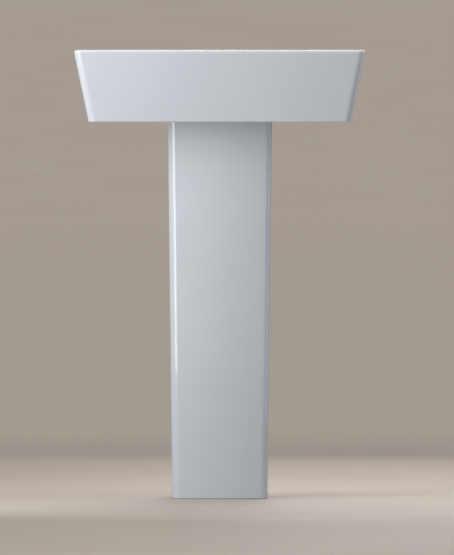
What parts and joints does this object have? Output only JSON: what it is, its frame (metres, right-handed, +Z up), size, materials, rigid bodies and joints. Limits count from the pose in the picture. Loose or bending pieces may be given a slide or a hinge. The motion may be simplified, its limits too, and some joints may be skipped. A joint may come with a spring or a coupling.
{
  "type": "pedestal sink",
  "caption": "Ceramic wash basin with battered sides and a rectangular bowl, standing on a slim bow-fronted pedestal that hides a press-to-close waste and bottle trap.",
  "frame": {"origin": "on the floor, under the middle of the basin's plan (halfway between its sides, and between its front rim and the wall)", "axes": "+X to the user's right when facing the basin's front from the room, +Y towards the wall behind the basin, +Z up"},
  "size_m": [0.55, 0.44, 0.85],
  "materials": {
    "basin_glaze": "gloss white vitreous china",
    "pedestal_glaze": "gloss white vitreous china",
    "chrome": "polished chrome on brass",
    "brass": "machined brass",
    "steel": "spring steel wire",
    "seal_rubber": "matt black rubber",
    "strip_rubber": "soft pale grey rubber",
    "trap_plastic": "white polypropylene",
    "nut_plastic": "white polypropylene, finely textured",
    "cartridge_plastic": "black acetal",
    "washer_plastic": "natural polyethylene"
  },
  "bodies": {
    "sink": {"basin": "basin_glaze", "pedestal": "pedestal_glaze", "pedestal_strip": "strip_rubber", "overflow_ring": "chrome", "waste_body": "chrome", "waste_flange_seal": "seal_rubber", "waste_taper_washer": "seal_rubber", "waste_slip_washer": "washer_plastic", "waste_backnut": "brass", "click_cartridge": "cartridge_plastic", "trap_union_washer": "seal_rubber", "trap_union_nut": "nut_plastic", "trap_inlet_tube": "trap_plastic", "trap_inlet_seal": "seal_rubber", "trap_inlet_nut": "nut_plastic", "trap_body": "trap_plastic", "trap_outlet_seal": "seal_rubber", "trap_outlet_nut": "nut_plastic"},
    "plug": {"plug_cap": "chrome", "plug_seal": "seal_rubber", "plug_plunger": "brass", "click_spring": "steel"},
    "cup_seal": {"trap_cup_seal": "seal_rubber"},
    "cup": {"trap_cup": "trap_plastic"}
  },
  "joints": [
    {"name": "plug_press", "type": "slide", "parent": "sink", "child": "plug", "axis": [0, 0, 1], "range_m": [-0.0085, 0], "stiffness_N_per_m": 300, "springref_m": 0.02, "deforming": ["click_spring"]},
    {"name": "trap_cup_drop", "type": "slide", "parent": "sink", "child": "cup_seal", "axis": [0, 0, -1], "range_m": [0, 0.0075]},
    {"name": "trap_cup_turn", "type": "hinge", "parent": "cup_seal", "child": "cup", "pos_m": [0, -0.035, 0.5], "axis": [0, 0, -1], "range_deg": [0, 540]}
  ],
  "couplings": [
    {"joint": "trap_cup_drop", "follows": "trap_cup_turn", "m_per_rad": 0.0007957}
  ]
}
